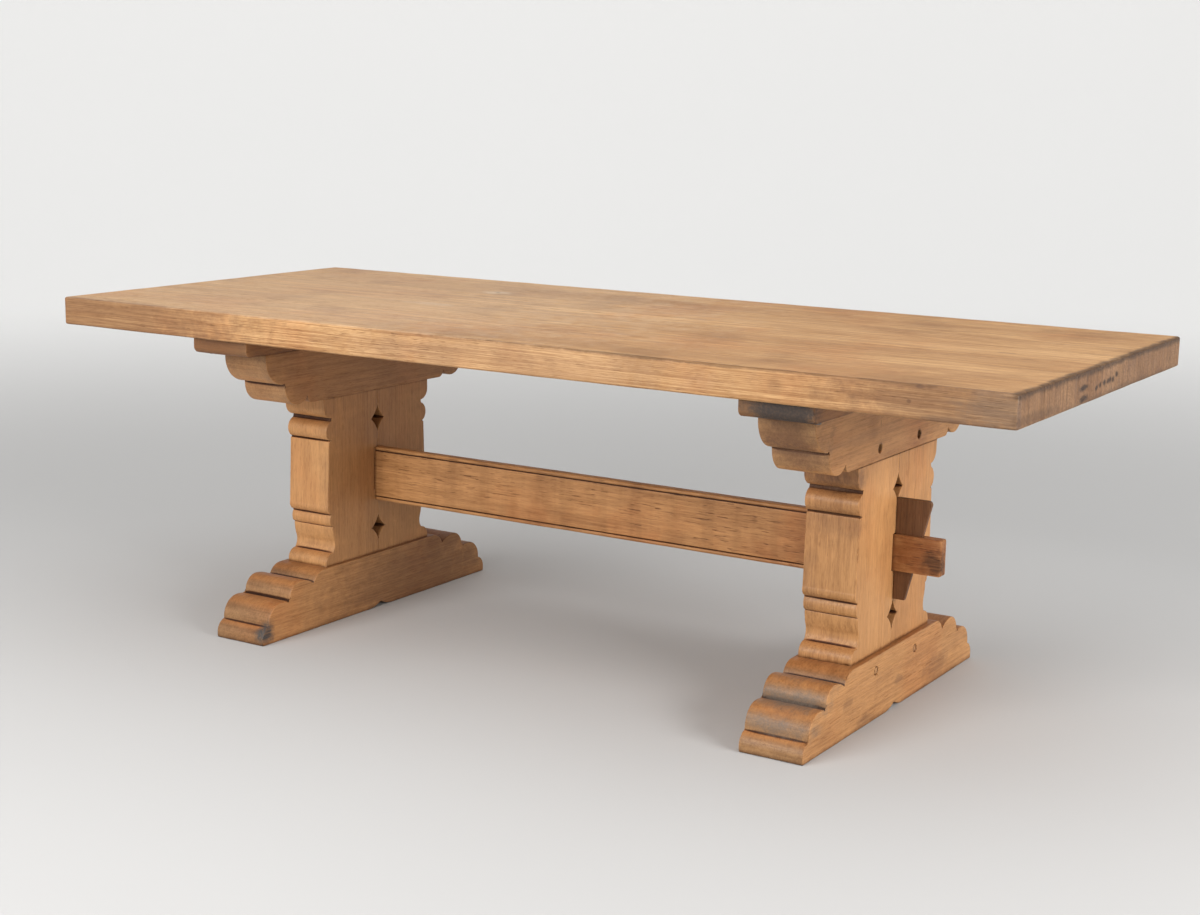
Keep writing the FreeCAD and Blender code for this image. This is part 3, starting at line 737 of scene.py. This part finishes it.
class Screws(bpy.types.Operator):
    """Set the coach screws under the bearers"""

    bl_idname = "trestle.screws"
    bl_label = "Coach screws"

    def execute(self, context):
        steel = dull_steel()
        tree = self.tree()
        for side in SIDES:
            node = f"{side}_bearer_screws"
            low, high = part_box(node)
            mesh = bpy.data.meshes.new(node + "_set")
            mesh.from_pydata(self.places(node), [], [])
            piece = add_object(node + "_set", mesh)
            modifier = piece.modifiers.new("screws", "NODES")
            modifier.node_group = tree
            set_inputs(modifier, {"Length": high.z - low.z, "Material": steel})
            bake(piece)
            hand_over(piece, node)
        return {"FINISHED"}

    def places(self, node):
        """The points under the heads of the node's screws, in order."""
        bm = bmesh.new()
        bm.from_mesh(frame["nodes"][node].data)
        bmesh.ops.remove_doubles(bm, verts=bm.verts, dist=MERGE)
        left = set(bm.verts)
        found = []
        while left:
            reached = [left.pop()]
            for vert in reached:
                for other in (e.other_vert(vert) for e in vert.link_edges):
                    if other in left:
                        left.remove(other)
                        reached.append(other)
            span = [[f(v.co[i] for v in reached) for f in (min, max)] for i in range(3)]
            found.append((sum(span[X]) / 2, sum(span[Y]) / 2, span[Z][0]))
        bm.free()
        return sorted(found)

    def tree(self):
        """A chamfered hexagonal head and collar on a threaded, pointed shank, set on every point."""
        sizes = {"Length": 0.06, "Head Radius": 0.0073, "Head Height": 0.0055, "Shank Radius": 0.0039,
                 "Thread Pitch": 0.003}
        chamfer, thread_depth, point = 0.86, 0.28, 0.12
        tree, value = node_tree("coach screws", {"Geometry": "Geometry", **dict.fromkeys(sizes, "Float"),
                                                 "Material": "Material"})
        for item in tree.interface.items_tree:
            if item.name in sizes:
                item.default_value = sizes[item.name]
        start = Flow(tree)
        x, y, z = start.node("GeometryNodeInputPosition").axes()
        radius, height, shank = value["Head Radius"], value["Head Height"], value["Shank Radius"]

        def turned(sides, rings, wide, tall, share, rise, base):
            """A prism whose points draw in by a share and rise to a height, stood on its base."""
            part = start.node("GeometryNodeMeshCone", None,
                              {"Vertices": sides, "Side Segments": rings, "Radius Bottom": wide,
                               "Radius Top": wide, "Depth": tall})
            place = (x * share).joined(y * share, rise)
            part = start.node("GeometryNodeSetPosition", None, {"Geometry": part, "Position": place})
            base = start.node("ShaderNodeCombineXYZ", None, {Z: base})
            return start.node("GeometryNodeTransform", None, {"Geometry": part, "Translation": base})

        hexagon = height * 0.8
        up = z / height
        head = turned(6, 2, radius, hexagon, up.smooth(0.0, 0.4, chamfer, 1.0), up * up * height * 1.25, 0.0)
        collar = turned(24, 1, radius * chamfer, height * 0.3, 1.0, z, height * 0.7)
        reach = value["Length"] - hexagon
        along = z / reach
        winding = z / value["Thread Pitch"] + y.math("ARCTAN2", x) / math.tau
        crest = (1.0 - (winding.math("FRACT") - 0.5).math("ABSOLUTE") * 2.0).smooth(0.35, 0.9)
        thread = 1.0 - along.smooth(0.4, 0.46) * (1.0 - crest) * thread_depth
        pin = turned(24, 96, shank, reach, thread * along.smooth(1.0, 0.88, point, 1.0), z, hexagon)
        screw = tree.nodes.new("GeometryNodeMeshBoolean")
        screw.operation = "UNION"
        for part in (head, collar, pin):
            tree.links.new(part.socket, screw.inputs["Mesh 2"])
        spin = start.node("FunctionNodeRandomValue", {"data_type": "FLOAT"},
                          {"Min": 0.0, "Max": 1.05, "Seed": 5}, 1)
        spin = start.node("ShaderNodeCombineXYZ", None, {Z: spin})
        shape = start.node("GeometryNodeInstanceOnPoints", None,
                           {"Points": value["Geometry"], "Rotation": spin,
                            "Instance": Flow(tree, screw.outputs["Mesh"])})
        close_tree(tree, shape, value["Material"])
        return tree


class HiddenPieces(bpy.types.Operator):
    """Give the hidden tongues and loose tenons plain oak"""

    bl_idname = "trestle.hidden_pieces"
    bl_label = "Hidden pieces"

    def execute(self, context):
        finish = context.scene.oak_finish
        lengthwise = oak("tongue oak", "X", finish.base_pale, finish.base_brown)
        upright = oak("loose tenon oak", "Z", finish.base_pale, finish.base_brown)
        kinds = {"plank_tongues": lengthwise}
        kinds.update({f"{side}_{part}_keys": upright for side in SIDES for part in ("post", "cap")})
        for node, material in kinds.items():
            mesh = frame["nodes"][node].data
            mesh.materials.clear()
            mesh.materials.append(material)
        return {"FINISHED"}


class Stage(bpy.types.Operator):
    """Set the floor, the lights and the camera"""

    bl_idname = "trestle.stage"
    bl_label = "Studio"

    def execute(self, context):
        studio = context.scene.studio
        self.floor(studio)
        self.light("front", (-0.9, -3.9, 2.3), (-0.1, 0.0, 0.4), (2.8, 1.8), studio.front_power)
        self.light("side", (4.7, -0.9, 2.05), (0.7, 0.0, 0.4), (2.6, 1.0), studio.side_power)
        self.light("ceiling", (0.0, 0.0, 5.5), (0.0, 0.0, 0.0), (11.0, 11.0), studio.ceiling_power)
        self.room(context.scene, studio)
        self.camera(context.scene, studio)
        context.scene.view_settings.view_transform = "Standard"
        return {"FINISHED"}

    def light(self, name, place, target, size, energy):
        lamp = bpy.data.lights.new(name, "AREA")
        lamp.energy = energy
        lamp.shape = "RECTANGLE"
        lamp.size, lamp.size_y = size
        lit = add_object(name, lamp)
        aim = (Vector(target) - Vector(place)).to_track_quat("-Z", "Y")
        lit.matrix_world = Matrix.Translation(place) @ aim.to_matrix().to_4x4()
        lit.visible_camera = False

    def room(self, scene, studio):
        """A dim, even glow from all round."""
        scene.world = bpy.data.worlds.new("studio")
        scene.world.use_nodes = True
        glow = scene.world.node_tree.nodes["Background"]
        glow.inputs["Color"].default_value = (1, 0.995, 0.985, 1)
        glow.inputs["Strength"].default_value = studio.room

    def camera(self, scene, studio):
        lens = bpy.data.cameras.new("camera")
        lens.lens = studio.lens
        lens.sensor_width = 36
        tilt, roll, heading = studio.camera_turn
        turn = Euler((tilt, 0, heading)).to_matrix() @ Matrix.Rotation(roll, 3, "Z")
        scene.camera = add_object("camera", lens)
        scene.camera.matrix_world = Matrix.Translation(studio.camera_place) @ turn.to_4x4()

    def floor(self, studio):
        """A round floor whose rim sweeps up into a fading wall, so that no view meets an edge."""
        flat, sweep, wall, steps = 7.0, 3.0, 5.2, 10
        profile = [(0.0, 0.0), (flat, 0.0)]
        for step in range(1, steps + 1):
            angle = step * math.pi / (2 * steps)
            profile.append((flat + sweep * math.sin(angle), sweep - sweep * math.cos(angle)))
        profile.append((flat + sweep, wall))
        bm = bmesh.new()
        points = [bm.verts.new((r, 0, z)) for r, z in profile]
        edges = [bm.edges.new(pair) for pair in zip(points, points[1:])]
        bmesh.ops.spin(bm, geom=points + edges, cent=(0, 0, 0), axis=(0, 0, 1), angle=math.tau, steps=64,
                       use_merge=True)
        bmesh.ops.remove_doubles(bm, verts=bm.verts, dist=SNAP)
        bmesh.ops.recalc_face_normals(bm, faces=bm.faces)
        if sum(face.normal.z for face in bm.faces) < 0:
            bmesh.ops.reverse_faces(bm, faces=bm.faces)
        mesh = bpy.data.meshes.new("floor")
        bm.to_mesh(mesh)
        bm.free()
        mesh.shade_smooth()
        mesh.materials.append(self.floor_paint(studio))
        ground = add_object("floor", mesh)

    def floor_paint(self, studio):
        """Faintly clouded paint that glows towards the rim, and that is clear from below."""
        material, surface = new_material("studio floor")
        place = Flow(material.node_tree).node("ShaderNodeTexCoord", output="Object")
        pale = tuple(studio.floor)
        dim = tuple(c * 0.97 for c in pale[:3]) + (1,)
        link(place.noise(0.7, 2.0).between(dim, pale), surface.inputs["Base Color"])
        outward = place.vector("MULTIPLY", (1, 1, 0)).vector("LENGTH", output="Value")
        glow = outward.smooth(1.8, 7.5) * place.axes()[Z].smooth(2.1, 3.9, 1.0, 0.0)
        link(glow.between((0, 0, 0, 1), studio.backdrop), surface.inputs["Emission Color"])
        surface.inputs["Emission Strength"].default_value = 1.0
        surface.inputs["Roughness"].default_value = 0.9
        below = place.node("ShaderNodeNewGeometry", output="Backfacing")
        clear = place.node("ShaderNodeBsdfTransparent")
        paint = Flow(material.node_tree, surface.outputs[0])
        seen = below.node("ShaderNodeMixShader", None, {0: below, 1: paint, 2: clear})
        link(seen, material.node_tree.nodes["Material Output"].inputs["Surface"])
        return material


GROUPS = {"oak_finish": OakFinish, "worn_edges": WornEdges, "studio": Studio}
OPERATORS = (TopPlanks, Trestles, Stretcher, Keys, Screws, HiddenPieces, Stage)


class TablePanel(bpy.types.Panel):
    """Lists the table's sizes and colours, and the steps that dress it"""

    bl_idname = "VIEW3D_PT_trestle_table"
    bl_label = "Trestle table"
    bl_space_type = "VIEW_3D"
    bl_region_type = "UI"
    bl_category = "Table"

    def draw(self, context):
        for group in GROUPS:
            holder = getattr(context.scene, group)
            box = self.layout.box()
            for name in holder.__annotations__:
                box.prop(holder, name)
        for operator in OPERATORS:
            self.layout.operator(operator.bl_idname)


def register():
    for group in GROUPS.values():
        bpy.utils.register_class(group)
    for name, group in GROUPS.items():
        setattr(bpy.types.Scene, name, PointerProperty(type=group))
    for shown in OPERATORS + (TablePanel,):
        bpy.utils.register_class(shown)


def unregister():
    for shown in reversed(OPERATORS + (TablePanel,)):
        bpy.utils.unregister_class(shown)
    for name in GROUPS:
        delattr(bpy.types.Scene, name)
    for group in reversed(GROUPS.values()):
        bpy.utils.unregister_class(group)


def main():
    register()
    bpy.ops.trestle.top_planks()
    bpy.ops.trestle.trestles()
    bpy.ops.trestle.stretcher()
    bpy.ops.trestle.keys()
    bpy.ops.trestle.screws()
    bpy.ops.trestle.hidden_pieces()
    bpy.ops.trestle.stage()


if __name__ == "__main__":
    main()
